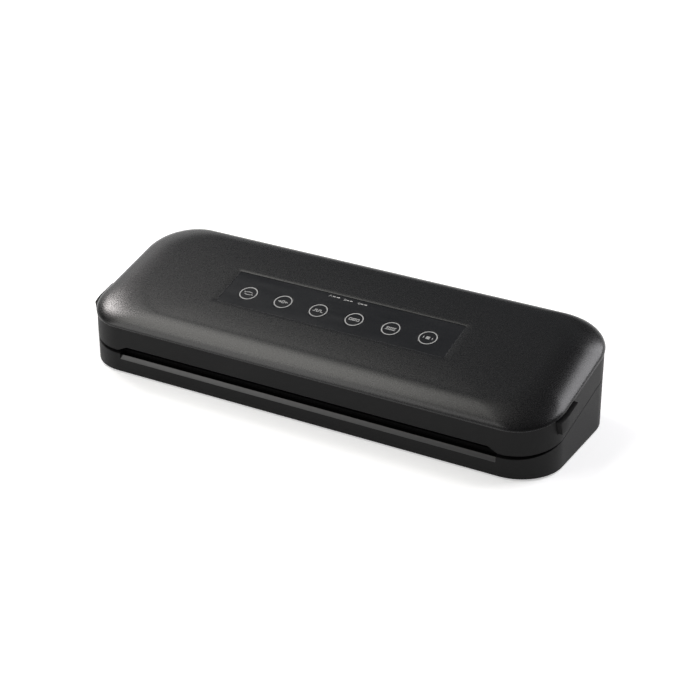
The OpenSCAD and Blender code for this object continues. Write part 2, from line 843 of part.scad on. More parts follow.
// One key: a disc that lies level with the film, and a stem over its switch
module key(i) {
    color(film_colour) on_crown() translate([key_x0 + i * key_pitch, key_y, 0]) {
        translate([0, 0, -panel_sink - key_t]) cylinder(r = key_r, h = key_t);
        translate([0, 0, stem_low]) cylinder(r = stem_r, h = -panel_sink - key_t / 2 - stem_low);
    }
}

module indicator_lights() {
    color("#dfe3e6") on_crown() for (x = light_x) translate([x, light_y, board_top + 0.02])
        cylinder(r = 1.25, h = -board_top - panel_t - panel_sink - 0.03);
}

module control_board() {
    color(board_colour) on_crown() difference() {
        translate([panel_x - board_l / 2, -15.5, board_top - board_t]) cube([board_l, board_d, board_t]);
        for (p = board_screw_at) translate([panel_x + p.x, p.y, -far / 4]) cylinder(r = 1.1, h = far);
    }
}

module tact_switches() {
    color("#57585c") on_crown() for (i = [0:5]) translate([key_x0 + i * key_pitch, key_y, board_top]) {
        translate([-3, -3, 0.01]) cube([6, 6, switch_h]);
        translate([0, 0, switch_h]) cylinder(r = 1.7, h = button_h);
    }
}

module upper_gasket() {
    color(rubber_colour) on_parting() gasket_ring(0, 0.15, groove_h + half_gap - 0.05);
}

module press_strip() {
    color("#6d6f72") on_parting() slab(seal_l, seal_w - 0.3, 0.8, seal_v, 0.3, seat_t - 0.02);
}

// Release pad in the end wall, one piece with the hook that it draws inwards
module release() {
    color(shell_colour) {
        intersection() {
            linear_extrude(far) difference() {
                outline(pad_proud);
                outline(pad_proud - pad_t);
            }
            pad_window(pad_gap, pad_top_gap);
        }
        on_parting() {
            translate([hook_x, hook_v - hook_w / 2, -hook_drop]) cube([hook_t, hook_w, hook_drop + 16]);
            translate([hook_x, hook_v - 4, 12.5]) cube([8, 8, 3.5]);
            translate([hook_x + hook_t - eps, hook_v + hook_w / 2, -hook_drop]) rotate([90, 0, 0])
                linear_extrude(hook_w) polygon([[0, 0], [barb, 1.6], [0, 1.9]]);
        }
    }
}
module release_right() { release(); }
module release_left() { mirror([1, 0, 0]) release(); }

// Coil spring behind a release pad
module release_spring() {
    turns = 5;
    length = hook_x - spring_x - 2 * wire_r - 0.1;
    color(metal_colour) on_parting() translate([spring_x + wire_r + 0.05, hook_v, spring_w])
        sweep([for (i = [0:turns * 12])
            [length * i / (turns * 12), spring_r * cos(30 * i), spring_r * sin(30 * i)]], wire_r, 6);
}
module release_spring_right() { release_spring(); }
module release_spring_left() { mirror([1, 0, 0]) release_spring(); }

module hinge_pins() {
    color(metal_colour) both_ends() translate([0, hinge_y, hinge_z])
        along_x(pin_r, knuckle_x - pin_l / 2, pin_l);
}

module lid_screws() {
    color(metal_colour) on_parting() for (p = lid_screw_at)
        translate([p.x, p.y, 0.6 + head_h]) screw(lid_screw_l);
}

module lid_harness() {
    color("#7b2e2e") sweep(smooth_route([[-60, 43.5, 45], [-60, 41, 50], [-57, 32, 52],
        [-50, 22, 50], [-42, 15, 48.5]], 4), 1.6, 8);
}

base_housing();
bottom_cover();
rubber_feet();
base_screws();
lower_gasket();
seal_bar();
heating_strip();
release_tape();
intake_nozzle();
pump_motor();
motor_magnets();
motor_rotor();
pump_housing();
pump_diaphragm();
pump_head();
pump_screws();
suction_tube();
vent_tube();
air_valve();
valve_plunger();
transformer_core();
transformer_coil();
power_board();
board_components();
mains_inlet();
inlet_pins();
lid_switches();
base_harness();
lid_frame();
top_cover();
control_panel();
key(0);  // key_1
key(1);  // key_2
key(2);  // key_3
key(3);  // key_4
key(4);  // key_5
key(5);  // key_6
indicator_lights();
control_board();
tact_switches();
upper_gasket();
press_strip();
release_left();
release_right();
release_spring_left();
release_spring_right();
hinge_pins();
lid_screws();
lid_harness();
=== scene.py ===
"""Looks of a countertop vacuum packing machine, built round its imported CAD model.

Every length is in metres. +X runs along the machine, -Y is its front and +Z is up.
"""

import json
import math

import bmesh
import bpy
from mathutils import Matrix, Vector


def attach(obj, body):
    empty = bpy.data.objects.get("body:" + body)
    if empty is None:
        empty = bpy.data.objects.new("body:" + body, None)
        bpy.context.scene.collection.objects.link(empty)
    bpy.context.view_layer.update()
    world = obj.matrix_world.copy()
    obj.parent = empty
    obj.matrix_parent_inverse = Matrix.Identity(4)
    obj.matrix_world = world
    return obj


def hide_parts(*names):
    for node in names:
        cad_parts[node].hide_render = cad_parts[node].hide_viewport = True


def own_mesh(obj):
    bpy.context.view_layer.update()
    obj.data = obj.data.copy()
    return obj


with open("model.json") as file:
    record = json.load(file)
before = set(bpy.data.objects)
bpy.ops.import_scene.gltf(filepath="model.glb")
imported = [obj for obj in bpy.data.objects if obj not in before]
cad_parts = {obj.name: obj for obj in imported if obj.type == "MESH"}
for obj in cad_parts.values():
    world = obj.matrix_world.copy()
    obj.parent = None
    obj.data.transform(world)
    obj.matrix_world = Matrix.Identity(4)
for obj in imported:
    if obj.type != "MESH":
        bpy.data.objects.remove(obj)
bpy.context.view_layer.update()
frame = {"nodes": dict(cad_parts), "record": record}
MM = 0.001

# ---------- Driving sizes ----------

BODY_L = 370 * MM
BODY_D = 121 * MM
CORNER_R = 32 * MM
WALL = 2.4 * MM
DOME_LIP = 0.5 * MM
SHOULDER_X = 33 * MM
SHOULDER_Y = 17.5 * MM
# Three sloping planes, each by its height at the middle of the machine and its slope
PARTING = (30.2 * MM, 0.24)
TRIM = (49.5 * MM, 0.22)
CROWN = (59.2 * MM, 0.267)
PANEL_X = -2 * MM
PANEL_Y = -1.1 * MM
PANEL_L = 183.5 * MM
PANEL_D = 35.3 * MM
PANEL_R = 1.5 * MM
PANEL_SINK = 0.3 * MM
PANEL_T = 0.6 * MM
RECESS_PLAY = 0.4 * MM
KEYS = 6
KEY_PITCH = 29.1 * MM
KEY_X0 = -2.5 * MM - (KEYS - 1) / 2 * KEY_PITCH
KEY_Y = -3.6 * MM
KEY_WELL_R = 7.9 * MM
LIGHTS_X = [-16 * MM, -6 * MM, 4 * MM]
LIGHT_Y = 9 * MM
LIGHT_HOLE_R = 1.3 * MM
# Sizes of the parts at the seal, in the frame of the parting plane
TROUGH_V = -22 * MM
GASKET_L = 322 * MM
GASKET_D = 42 * MM
GASKET_W = 5 * MM
GASKET_R = 10 * MM
GROOVE_H = 2.6 * MM
HALF_GAP = 0.25 * MM
GASKET_PLAY = 0.05 * MM
GASKET_FACE = 0.15 * MM
SEAL_V = -49.5 * MM
SEAL_L = 310 * MM
# Length, depth, lowest and highest level of the two strips, from the parting plane
PRESS_SIZE = (SEAL_L, 7.7 * MM, 0.3 * MM, 4.98 * MM)
TAPE_SIZE = (SEAL_L - 1 * MM, 6.8 * MM, -0.68 * MM, -0.38 * MM)
# Radius and height of the points on a foot's profile
FOOT = [(0.0055, 0), (0.0061, 0), (0.00645, 0.00025), (0.0068, 0.0009), (0.007, 0.0013), (0.007, 0.0022)]
FEET_AT = [(x, y) for x in (-0.15, 0.15) for y in (-0.038, 0.038)]
# A release spring, also in the frame of the parting plane
SPRING_X = 165.4 * MM
SPRING_L = 8.2 * MM
SPRING_R = 2.4 * MM
SPRING_V = -27 * MM
SPRING_W = 9 * MM
WIRE_R = 0.35 * MM
# Steps round each corner of the dome's outlines
CORNER_STEPS = 16
# Edges that turn by more than this are shaded as sharp
SHARP = math.radians(35)


def slope_frame(plane):
    """Matrix of a sloping plane: Y runs up the slope and Z stands square on it."""
    height, slope = plane
    return Matrix.Translation((0, 0, height)) @ Matrix.Rotation(math.atan(slope), 4, "X")


ON_PARTING = slope_frame(PARTING)
ON_CROWN = slope_frame(CROWN)


# ---------- Mesh helpers ----------


def add_to_scene(name, data):
    """An object for some data, linked into the scene."""
    thing = bpy.data.objects.new(name, data)
    bpy.context.scene.collection.objects.link(thing)
    return thing


def mesh_piece(name, mesh, material, smooth=True):
    """An object for a mesh, with its material."""
    for polygon in mesh.polygons:
        polygon.use_smooth = smooth
    mesh.materials.append(material)
    return add_to_scene(name, mesh)


def new_piece(name, verts, faces, material, body, smooth=True):
    """A mesh object that rides on a body and takes its finish from a material slot."""
    mesh = bpy.data.meshes.new(name)
    mesh.from_pydata([tuple(v) for v in verts], [], faces)
    mesh.update()
    bm = bmesh.new()
    bm.from_mesh(mesh)
    bmesh.ops.recalc_face_normals(bm, faces=bm.faces)
    bm.to_mesh(mesh)
    bm.free()
    piece = mesh_piece(name, mesh, material, smooth)
    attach(piece, body)
    return piece


def loft(rings, cap_first=False, cap_last=False):
    """Vertices and faces of a skin over closed rings that hold the same number of points."""
    count = len(rings[0])
    verts = [p for ring in rings for p in ring]
    faces = []
    for i in range(len(rings) - 1):
        for k in range(count):
            a, b = i * count + k, i * count + (k + 1) % count
            faces.append((a, b, b + count, a + count))
    if cap_first:
        faces.append(tuple(reversed(range(count))))
    if cap_last:
        faces.append(tuple(range((len(rings) - 1) * count, len(rings) * count)))
    return verts, faces


def round_rect(length, depth, radius, steps):
    """Outline of a rectangle with round corners, counter-clockwise from the +X side."""
    points = []
    for q, (sx, sy) in enumerate([(1, 1), (-1, 1), (-1, -1), (1, -1)]):
        for k in range(steps + 1):
            turn = math.radians(90 * (q + k / steps))
            points.append((sx * (length / 2 - radius) + radius * math.cos(turn),
                           sy * (depth / 2 - radius) + radius * math.sin(turn)))
    return points


def lifted(outline, height, place, at):
    """Points of a flat outline, moved to a spot and a height in a local frame."""
    return [place @ Vector((x + at[0], y + at[1], height)) for x, y in outline]


# ---------- Materials ----------


def shader_graph(name):
    """A new material with its nodes, its links and its Principled shader."""
    material = bpy.data.materials.new(name)
    material.use_nodes = True
    nodes = material.node_tree.nodes
    shader = next(n for n in nodes if n.type == "BSDF_PRINCIPLED")
    return material, nodes, material.node_tree.links, shader


def texture(nodes, links, kind, size, detail=2.0, stretch=(1, 1, 1)):
    """A noise or Voronoi texture whose features are about size across, in object space."""
    place = nodes.new("ShaderNodeTexCoord")
    mapping = nodes.new("ShaderNodeMapping")
    mapping.inputs["Scale"].default_value = stretch
    links.new(place.outputs["Object"], mapping.inputs["Vector"])
    made = nodes.new("ShaderNodeTexVoronoi" if kind == "voronoi" else "ShaderNodeTexNoise")
    made.inputs["Scale"].default_value = 1 / size
    if kind == "noise":
        made.inputs["Detail"].default_value = detail
    links.new(mapping.outputs["Vector"], made.inputs["Vector"])
    return made


def spread(nodes, links, value, low, high, to_low, to_high):
    """Maps a range of a value onto another range, clamped."""
    node = nodes.new("ShaderNodeMapRange")
    for socket, number in zip(("From Min", "From Max", "To Min", "To Max"), (low, high, to_low, to_high)):
        node.inputs[socket].default_value = number
    links.new(value, node.inputs["Value"])
    return node.outputs["Result"]


def mixed(nodes, links, share, first, second):
    """Mixes two colours by a share."""
    node = nodes.new("ShaderNodeMix")
    node.data_type = "RGBA"
    links.new(share, node.inputs["Factor"])
    for socket, colour in (("A", first), ("B", second)):
        place = next(s for s in node.inputs if s.name == socket and s.type == "RGBA")
        if isinstance(colour, bpy.types.NodeSocket):
            links.new(colour, place)
        else:
            place.default_value = (*colour, 1)
    return next(s for s in node.outputs if s.type == "RGBA")


def bumps(nodes, links, shader, layers):
    """A chain of bump nodes, one for each (height socket, depth)."""
    normal = None
    for height, depth in layers:
        bump = nodes.new("ShaderNodeBump")
        bump.inputs["Strength"].default_value = 1.0
        bump.inputs["Distance"].default_value = depth
        links.new(height, bump.inputs["Height"])
        if normal:
            links.new(normal, bump.inputs["Normal"])
        normal = bump.outputs["Normal"]
    links.new(normal, shader.inputs["Normal"])


def plastic(name, colour, rough, grain, depth, tint=0.25, specular=0.5, metal=0.0, rough_play=0.06):
    """Moulded plastic or metal: grain in the surface, mottled tone, and a roughness that wanders."""
    material, nodes, links, shader = shader_graph(name)
    fine = texture(nodes, links, "noise", grain, 3.0)
    broad = texture(nodes, links, "noise", 22 * MM, 2.0)
    share = spread(nodes, links, broad.outputs["Fac"], 0.3, 0.7, 0, 1)
    lighter = [c * (1 + tint) for c in colour]
    darker = [c * (1 - tint) for c in colour]
    links.new(mixed(nodes, links, share, darker, lighter), shader.inputs["Base Color"])
    links.new(spread(nodes, links, broad.outputs["Fac"], 0.3, 0.7, rough - rough_play, rough + rough_play),
              shader.inputs["Roughness"])
    shader.inputs["Metallic"].default_value = metal
    shader.inputs["Specular IOR Level"].default_value = specular
    bumps(nodes, links, shader, [(fine.outputs["Fac"], depth)])
    return material


def dome_paint():
    """Satin charcoal lacquer with a fine pearl fleck."""
    material, nodes, links, shader = shader_graph("dome_paint")
    flakes = texture(nodes, links, "voronoi", 0.55 * MM)
    skin = texture(nodes, links, "noise", 0.8 * MM, 2.0)
    broad = texture(nodes, links, "noise", 60 * MM, 2.0)
    pick = nodes.new("ShaderNodeSeparateColor")
    links.new(flakes.outputs["Color"], pick.inputs["Color"])
    sparkle = spread(nodes, links, pick.outputs["Red"], 0.80, 0.97, 0, 1)
    tone = spread(nodes, links, broad.outputs["Fac"], 0.3, 0.7, 0, 1)
    ground = mixed(nodes, links, tone, (0.0027, 0.0027, 0.0031), (0.0039, 0.0038, 0.0044))
    links.new(mixed(nodes, links, sparkle, ground, (0.0085, 0.0085, 0.009)), shader.inputs["Base Color"])
    rough = spread(nodes, links, pick.outputs["Green"], 0, 1, 0.25, 0.31)
    links.new(rough, shader.inputs["Roughness"])
    shader.inputs["Specular IOR Level"].default_value = 0.5
    bumps(nodes, links, shader, [(skin.outputs["Fac"], 0.0035 * MM), (pick.outputs["Blue"], 0.002 * MM)])
    return material


def shell_plastic(name="shell_plastic"):
    """Matt black moulding with a fine spark-eroded grain."""
    material, nodes, links, shader = shader_graph(name)
    grain = texture(nodes, links, "noise", 0.45 * MM, 4.0)
    pits = texture(nodes, links, "voronoi", 0.7 * MM)
    broad = texture(nodes, links, "noise", 35 * MM, 3.0)
    tone = spread(nodes, links, broad.outputs["Fac"], 0.3, 0.7, 0, 1)
    ground = mixed(nodes, links, tone, (0.0040, 0.0040, 0.0042), (0.0054, 0.0054, 0.0056))
    links.new(ground, shader.inputs["Base Color"])
    links.new(spread(nodes, links, grain.outputs["Fac"], 0.3, 0.7, 0.46, 0.60), shader.inputs["Roughness"])
    shader.inputs["Specular IOR Level"].default_value = 0.15
    bumps(nodes, links, shader, [(pits.outputs["Distance"], 0.02 * MM), (grain.outputs["Fac"], 0.03 * MM)])
    return material


def panel_film():
    """Smooth printed film, blue-black, with faint wiping marks in its gloss."""
    material, nodes, links, shader = shader_graph("panel_film")
    wipes = texture(nodes, links, "noise", 9 * MM, 3.0, stretch=(0.15, 1, 1))
    skin = texture(nodes, links, "noise", 0.35 * MM, 2.0)
    share = spread(nodes, links, wipes.outputs["Fac"], 0.35, 0.65, 0, 1)
    links.new(mixed(nodes, links, share, (0.0040, 0.0042, 0.0056), (0.0052, 0.0055, 0.0070)),
              shader.inputs["Base Color"])
    links.new(spread(nodes, links, wipes.outputs["Fac"], 0.35, 0.65, 0.20, 0.26), shader.inputs["Roughness"])
    shader.inputs["Specular IOR Level"].default_value = 0.45
    bumps(nodes, links, shader, [(skin.outputs["Fac"], 0.004 * MM)])
    return material


def print_ink():
    """Pale screen-printed ink with a little mottling."""
    material, nodes, links, shader = shader_graph("print_ink")
    mottle = texture(nodes, links, "noise", 0.5 * MM, 3.0)
    share = spread(nodes, links, mottle.outputs["Fac"], 0.3, 0.7, 0, 1)
    ink = mixed(nodes, links, share, (0.36, 0.36, 0.355), (0.50, 0.50, 0.495))
    links.new(ink, shader.inputs["Base Color"])
    shader.inputs["Roughness"].default_value = 0.5
    bumps(nodes, links, shader, [(mottle.outputs["Fac"], 0.005 * MM)])
    return material


def foam():
    """Closed-cell foam: small round cells and a matt skin."""
    material, nodes, links, shader = shader_graph("foam")
    cells = texture(nodes, links, "voronoi", 0.9 * MM)
    fine = texture(nodes, links, "noise", 0.25 * MM, 3.0)
    dark = spread(nodes, links, cells.outputs["Distance"], 0.1, 0.6, 0, 1)
    tone = mixed(nodes, links, dark, (0.018, 0.018, 0.019), (0.05, 0.05, 0.052))
    links.new(tone, shader.inputs["Base Color"])
    shader.inputs["Roughness"].default_value = 0.9
    shader.inputs["Specular IOR Level"].default_value = 0.25
    bumps(nodes, links, shader, [(cells.outputs["Distance"], 0.12 * MM), (fine.outputs["Fac"], 0.03 * MM)])
    return material


def woven_tape():
    """Coated glass cloth: a square weave under a waxy brown film."""
    material, nodes, links, shader = shader_graph("woven_tape")
    across = nodes.new("ShaderNodeTexWave")
    along = nodes.new("ShaderNodeTexWave")
    place = nodes.new("ShaderNodeTexCoord")
    for wave, direction in ((across, "X"), (along, "Y")):
        wave.bands_direction = direction
        wave.inputs["Scale"].default_value = 0.5 / (0.6 * MM)
        wave.inputs["Distortion"].default_value = 0.6
        wave.inputs["Detail"].default_value = 1.0
        links.new(place.outputs["Object"], wave.inputs["Vector"])
    weave = nodes.new("ShaderNodeMath")
    weave.operation = "MAXIMUM"
    links.new(across.outputs["Fac"], weave.inputs[0])
    links.new(along.outputs["Fac"], weave.inputs[1])
    stain = texture(nodes, links, "noise", 14 * MM, 3.0, stretch=(0.3, 1, 1))
    tone = spread(nodes, links, stain.outputs["Fac"], 0.35, 0.65, 0, 1)
    ground = mixed(nodes, links, tone, (0.20, 0.115, 0.05), (0.30, 0.18, 0.085))
    cloth = mixed(nodes, links, weave.outputs["Value"], (0.13, 0.07, 0.03), ground)
    links.new(cloth, shader.inputs["Base Color"])
    shader.inputs["Roughness"].default_value = 0.42
    bumps(nodes, links, shader, [(weave.outputs["Value"], 0.03 * MM)])
    return material


def metal(name, colour, rough, brush=(1, 1, 1)):
    """Metal with brushing marks that run along one axis."""
    material, nodes, links, shader = shader_graph(name)
    marks = texture(nodes, links, "noise", 0.35 * MM, 4.0, stretch=brush)
    broad = texture(nodes, links, "noise", 18 * MM, 3.0)
    share = spread(nodes, links, broad.outputs["Fac"], 0.3, 0.7, 0, 1)
    dull = [c * 0.82 for c in colour]
    links.new(mixed(nodes, links, share, dull, colour), shader.inputs["Base Color"])
    links.new(spread(nodes, links, marks.outputs["Fac"], 0.3, 0.7, rough - 0.08, rough + 0.1),
              shader.inputs["Roughness"])
    shader.inputs["Metallic"].default_value = 1.0
    bumps(nodes, links, shader, [(marks.outputs["Fac"], 0.006 * MM)])
    return material


def winding():
    """Enamelled copper wire, wound in level turns."""
    material, nodes, links, shader = shader_graph("winding")
    turns = nodes.new("ShaderNodeTexWave")
    turns.bands_direction = "Z"
    turns.inputs["Scale"].default_value = 0.5 / (0.5 * MM)
    turns.inputs["Distortion"].default_value = 0.8
    place = nodes.new("ShaderNodeTexCoord")
    links.new(place.outputs["Object"], turns.inputs["Vector"])
    links.new(mixed(nodes, links, turns.outputs["Fac"], (0.22, 0.07, 0.03), (0.62, 0.26, 0.11)),
              shader.inputs["Base Color"])
    shader.inputs["Metallic"].default_value = 0.9
    shader.inputs["Roughness"].default_value = 0.33
    bumps(nodes, links, shader, [(turns.outputs["Fac"], 0.12 * MM)])
    return material


def clear_plastic(name, colour, rough, through):
    """Milky plastic or silicone that lets some light through."""
    material, nodes, links, shader = shader_graph(name)
    cloud = texture(nodes, links, "noise", 5 * MM, 3.0)
    share = spread(nodes, links, cloud.outputs["Fac"], 0.3, 0.7, 0, 1)
    links.new(mixed(nodes, links, share, [c * 0.9 for c in colour], colour), shader.inputs["Base Color"])
    shader.inputs["Roughness"].default_value = rough
    shader.inputs["Transmission Weight"].default_value = through
    shader.inputs["IOR"].default_value = 1.43
    bumps(nodes, links, shader, [(cloud.outputs["Fac"], 0.05 * MM)])
    return material


# Draws a texture out along X
ALONG_X = (0.04, 1, 1)
MATERIALS = {
    "shell": shell_plastic(),
    "dome": dome_paint(),
    "release": shell_plastic("release_plastic"),
    "film": panel_film(),
    "print": print_ink(),
    "rubbed": plastic("rubbed_plastic", (0.006, 0.006, 0.006), 0.33, 0.6 * MM, 0.004 * MM,
                      tint=0.1, specular=0.75, rough_play=0.02),
    # Near-black, almost unreflecting finish for the faces inside the bag slot: painted shade that stands in
    # for the shadow deep in the slot
    "painted_shade": plastic("slot_painted_shade", (0.002, 0.002, 0.002), 0.7, 0.5 * MM, 0.03 * MM, specular=0.05),
    "rubber": plastic("rubber", (0.018, 0.018, 0.018), 0.72, 0.5 * MM, 0.03 * MM, specular=0.3),
    "foam": foam(),
    "press_rubber": plastic("press_rubber", (0.13, 0.13, 0.135), 0.58, 0.8 * MM, 0.02 * MM, specular=0.35),
    "silicone": clear_plastic("silicone", (0.72, 0.74, 0.75), 0.32, 0.55),
    "clear_plastic": clear_plastic("clear_plastic", (0.80, 0.81, 0.82), 0.24, 0.35),
    "inner_plastic": plastic("inner_plastic", (0.012, 0.012, 0.013), 0.5, 0.6 * MM, 0.02 * MM),
    "aluminium": metal("aluminium", (0.72, 0.73, 0.74), 0.34, ALONG_X),
    "steel": metal("steel", (0.52, 0.53, 0.55), 0.3),
    "core_steel": plastic("core_steel", (0.10, 0.105, 0.11), 0.5, 0.4 * MM, 0.05 * MM, metal=0.6),
    "ferrite": plastic("ferrite", (0.045, 0.045, 0.05), 0.66, 0.3 * MM, 0.03 * MM, metal=0.2),
    "nichrome": metal("nichrome", (0.42, 0.40, 0.37), 0.38, ALONG_X),
    "brass": metal("brass", (0.72, 0.55, 0.27), 0.27),
    "copper": winding(),
    "tape": woven_tape(),
    "board": plastic("board", (0.012, 0.075, 0.032), 0.36, 1.2 * MM, 0.02 * MM),
    "component": plastic("component", (0.03, 0.034, 0.042), 0.42, 0.5 * MM, 0.02 * MM),
    "light_pipe": clear_plastic("light_pipe", (0.55, 0.57, 0.58), 0.22, 0.5),
    "wire": plastic("wire", (0.18, 0.02, 0.018), 0.4, 1.0 * MM, 0.02 * MM),
}


# ---------- Carried-over CAD nodes ----------

SLOT_OF = {part["node"]: part["material_slot"] for part in frame["record"]["subparts"]}
# Width in millimetres of the bevel on a node's edges. The nodes that aren't listed have none.
EDGE = {"base_housing": 0.35, "lid_frame": 0.35, "bottom_cover": 0.4, "release_left": 0.4,
        "release_right": 0.4, "control_panel": 0.12, "seal_bar": 0.25, "mains_inlet": 0.2,
        "pump_housing": 0.4, "air_valve": 0.4, "transformer_core": 0.3,
        "board_components": 0.4, "pump_motor": 0.5, "lid_switches": 0.3,
        "transformer_coil": 1.2, "base_screws": 0.25, "lid_screws": 0.25, "pump_screws": 0.15,
        "inlet_pins": 0.3, "hinge_pins": 0.3, "power_board": 0.15, "control_board": 0.15,
        "tact_switches": 0.2, "motor_rotor": 0.2, "motor_magnets": 0.3, "valve_plunger": 0.3,
        "key_1": 0.12, "key_2": 0.12, "key_3": 0.12, "key_4": 0.12, "key_5": 0.12, "key_6": 0.12}


def finish_node(name):
    """Gives a CAD node its material, and breaks its sharp edges without touching its mesh."""
    node = frame["nodes"][name]
    node.data.materials.clear()
    node.data.materials.append(MATERIALS[SLOT_OF[name]])
    for polygon in node.data.polygons:
        polygon.use_smooth = True
    weld = node.modifiers.new("weld", "WELD")
    weld.merge_threshold = 0.002 * MM
    if name in EDGE:
        flats = node.modifiers.new("flats", "DECIMATE")
        flats.decimate_type = "DISSOLVE"
        flats.angle_limit = math.radians(0.4)
        flats.delimit = {"MATERIAL"}
        bevel = node.modifiers.new("edges", "BEVEL")
        bevel.width = EDGE[name] * MM
        bevel.segments = 2
        bevel.limit_method = "ANGLE"
        bevel.angle_limit = math.radians(32)
        bevel.use_clamp_overlap = False
        bevel.harden_normals = False
    else:
        split = node.modifiers.new("split", "EDGE_SPLIT")
        split.split_angle = SHARP
    normals = node.modifiers.new("normals", "WEIGHTED_NORMAL")
    normals.keep_sharp = True
    normals.weight = 60


def dress(name, finish, low, high, least_rise=-1.0, most_rise=1.0):
    """Gives the faces of a node whose middles lie in a box, and whose slope fits, a finish of their own."""
    mesh = frame["nodes"][name].data
    mesh.materials.append(MATERIALS[finish])
    for polygon in mesh.polygons:
        inside = all(a < m < b for a, m, b in zip(low, polygon.center, high))
        if inside and least_rise <= polygon.normal.z <= most_rise:
            polygon.material_index = len(mesh.materials) - 1


# Boxes that hold the middles of the faces: the slot's sill, the bevel below it and the slot in the lid. The
# sill and the lid's slot get a near-black painted shade, and the bevel a glossier plastic
SILL = ((-0.151, -0.0582, 0.0141), (0.151, -0.05, 0.03))
SILL_BEVEL = ((-0.151, -0.0602, 0.0105), (0.151, -0.0578, 0.0143))
LID_SLOT = ((-0.158, -0.0603, 0.0141), (0.158, -0.03, 0.0219))

for node_name in frame["nodes"]:
    finish_node(node_name)
dress("base_housing", "painted_shade", *SILL)
dress("base_housing", "rubbed", *SILL_BEVEL, least_rise=0.3, most_rise=0.95)
dress("lid_frame", "painted_shade", *LID_SLOT)


# ---------- Dome ----------


def dome_ring(turn, grow, lift):
    """The plan outline drawn in towards the crown, on its own height, as the CAD draws it."""
    length = BODY_L + 2 * (grow - SHOULDER_X * (1 - math.cos(turn)))
    depth = BODY_D + 2 * (grow - SHOULDER_Y * (1 - math.cos(turn)))
    outline = round_rect(length, depth, CORNER_R + grow, CORNER_STEPS)
    ring = []
    for x, y in outline:
        low = TRIM[0] + TRIM[1] * y
        high = CROWN[0] + CROWN[1] * y + lift
        ring.append(Vector((x, y, low + (high - low) * math.sin(turn))))
    return ring


def crown_point(x, y, sag):
    """A point on the crown plane, let down by a sag."""
    return Vector((x, y, CROWN[0] + CROWN[1] * y - sag))


def crown_rings(outer, inner, sag, count=10):
    """Rings across the crown from its rim to the panel recess, arched by a small sag at the rim."""
    rings = []
    for i in range(1, count + 1):
        share = i / count
        ring = []
        for a, b in zip(outer, inner):
            x, y = a.x + (b.x - a.x) * share, a.y + (b.y - a.y) * share
            ring.append(crown_point(x, y, sag * (1 - share) ** 2))
        rings.append(ring)
    return rings


def holed_plate(bm, outline, holes):
    """Fills an outline with round holes in it, between rings of vertices that exist already."""
    edges = []
    for loop in [outline, *holes]:
        for a, b in zip(loop, loop[1:] + loop[:1]):
            edge = bm.edges.get((a, b)) or bm.edges.new((a, b))
            edges.append(edge)
    bmesh.ops.triangle_fill(bm, use_beauty=True, edges=edges)


def recess_outline(grow):
    """Outline of the recess that the panel film lies in, grown by a margin."""
    play = RECESS_PLAY + 2 * grow
    return round_rect(PANEL_L + play, PANEL_D + play, PANEL_R + grow, CORNER_STEPS)


def quarter(steps):
    """Angles of a quarter turn, in equal steps."""
    return [math.radians(90 * k / steps) for k in range(steps + 1)]


def outer_skin(sag, recess_floor):
    """Rings of the dome's outside, from its inner lower edge up to the floor of the panel's recess."""
    lip_r = 0.45 * MM
    fillet = 0.2 * MM
    shoulder_steps, lip_steps, fillet_steps = 44, 4, 3
    outer = [dome_ring(turn, DOME_LIP, -sag) for turn in quarter(shoulder_steps)]
    # The lower edge turns in under itself with a small radius
    rings = [dome_ring(0, DOME_LIP - WALL, 0)]
    for a in quarter(lip_steps):
        ring = dome_ring(0, DOME_LIP - lip_r * (1 - math.sin(a)), 0)
        rings.append([p + Vector((0, 0, lip_r * (1 - math.cos(a)))) for p in ring])
    start = next(i for i, ring in enumerate(outer) if ring[0].z - outer[0][0].z > 1.2 * lip_r)
    rings += outer[start:]
    panel_at = (PANEL_X, PANEL_Y)
    rings += crown_rings(outer[-1], lifted(recess_outline(fillet), 0, ON_CROWN, panel_at), sag)
    for a in quarter(fillet_steps)[1:]:
        outline = recess_outline(fillet * (1 - math.sin(a)))
        rings.append(lifted(outline, -fillet * (1 - math.cos(a)), ON_CROWN, panel_at))
    rings.append(lifted(recess_outline(0), recess_floor, ON_CROWN, panel_at))
    return rings


def add_well(bm, x, y, radius, recess_floor, sides=32):
    """The wall of a round hole through the crown. Returns its upper and its lower ring."""
    top, bottom = [], []
    for k in range(sides):
        a = 2 * math.pi * k / sides
        px, py = x + radius * math.cos(a), y + radius * math.sin(a)
        top.append(bm.verts.new(ON_CROWN @ Vector((px, py, recess_floor))))
        flat = ON_CROWN @ Vector((px, py, 0))
        bottom.append(bm.verts.new((flat.x, flat.y, CROWN[0] + CROWN[1] * flat.y - WALL)))
    for k in range(sides):
        k2 = (k + 1) % sides
        bm.faces.new([top[k], top[k2], bottom[k2], bottom[k]])
    return top, bottom


